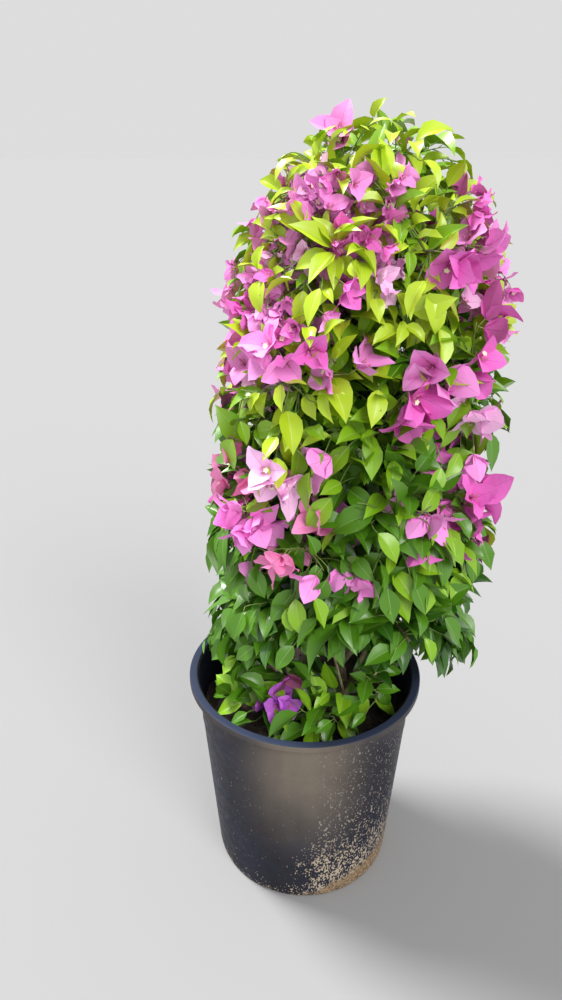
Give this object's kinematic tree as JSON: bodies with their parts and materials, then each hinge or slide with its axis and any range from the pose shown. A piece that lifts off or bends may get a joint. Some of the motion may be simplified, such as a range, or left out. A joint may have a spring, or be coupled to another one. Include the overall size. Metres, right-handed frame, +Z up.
{
  "type": "potted bougainvillea bush",
  "caption": "Bushy bougainvillea in a round plastic nursery pot: woody trunk, boughs, masses of green leaves and pink papery bracts up to the rounded top.",
  "frame": {"origin": "centre of the pot's flat underside, on the ground", "axes": "+Z up; -Y is the front, the side with the lowest and largest flowers; +X to the right seen from the front, the side the trunk's foot stands on"},
  "size_m": [0.4841, 0.4246, 1.2365],
  "materials": {
    "pot_plastic": "matte blue-black moulded plastic with a film of dust and sand",
    "potting_mix": "damp crumbly brown potting mix",
    "bark": "grey-brown ridged bark",
    "leaf": "satin green leaf",
    "bract": "thin papery magenta-pink bract",
    "spent_bract": "wilted violet bract"
  },
  "bodies": {
    "root": {"bough_1a": "bark", "bough_1b": "bark", "bough_1c": "bark", "bough_1d": "bark", "bough_1e": "bark", "bough_2a": "bark", "bough_2b": "bark", "bough_2c": "bark", "bough_2d": "bark", "bough_3a": "bark", "bough_3b": "bark", "bough_3c": "bark", "bough_3d": "bark", "bough_4a": "bark", "bough_4b": "bark", "bough_4c": "bark", "bracts_1a": "bract", "bracts_1b": "bract", "bracts_1c": "bract", "bracts_1d": "bract", "bracts_2a": "bract", "bracts_2b": "bract", "bracts_2c": "bract", "bracts_2d": "bract", "bracts_3a": "bract", "bracts_3b": "bract", "bracts_3c": "bract", "bracts_4a": "bract", "bracts_low": "spent_bract", "leaves_1a": "leaf", "leaves_1b": "leaf", "leaves_1c": "leaf", "leaves_1d": "leaf", "leaves_1e": "leaf", "leaves_2a": "leaf", "leaves_2b": "leaf", "leaves_2c": "leaf", "leaves_2d": "leaf", "leaves_3a": "leaf", "leaves_3b": "leaf", "leaves_3c": "leaf", "leaves_3d": "leaf", "leaves_4a": "leaf", "leaves_4b": "leaf", "leaves_4c": "leaf", "leaves_top": "leaf", "pot": "pot_plastic", "shoot_front": "leaf", "shoot_left": "leaf", "shoot_right": "leaf", "soil": "potting_mix", "trunk": "bark"}
  },
  "joints": []
}
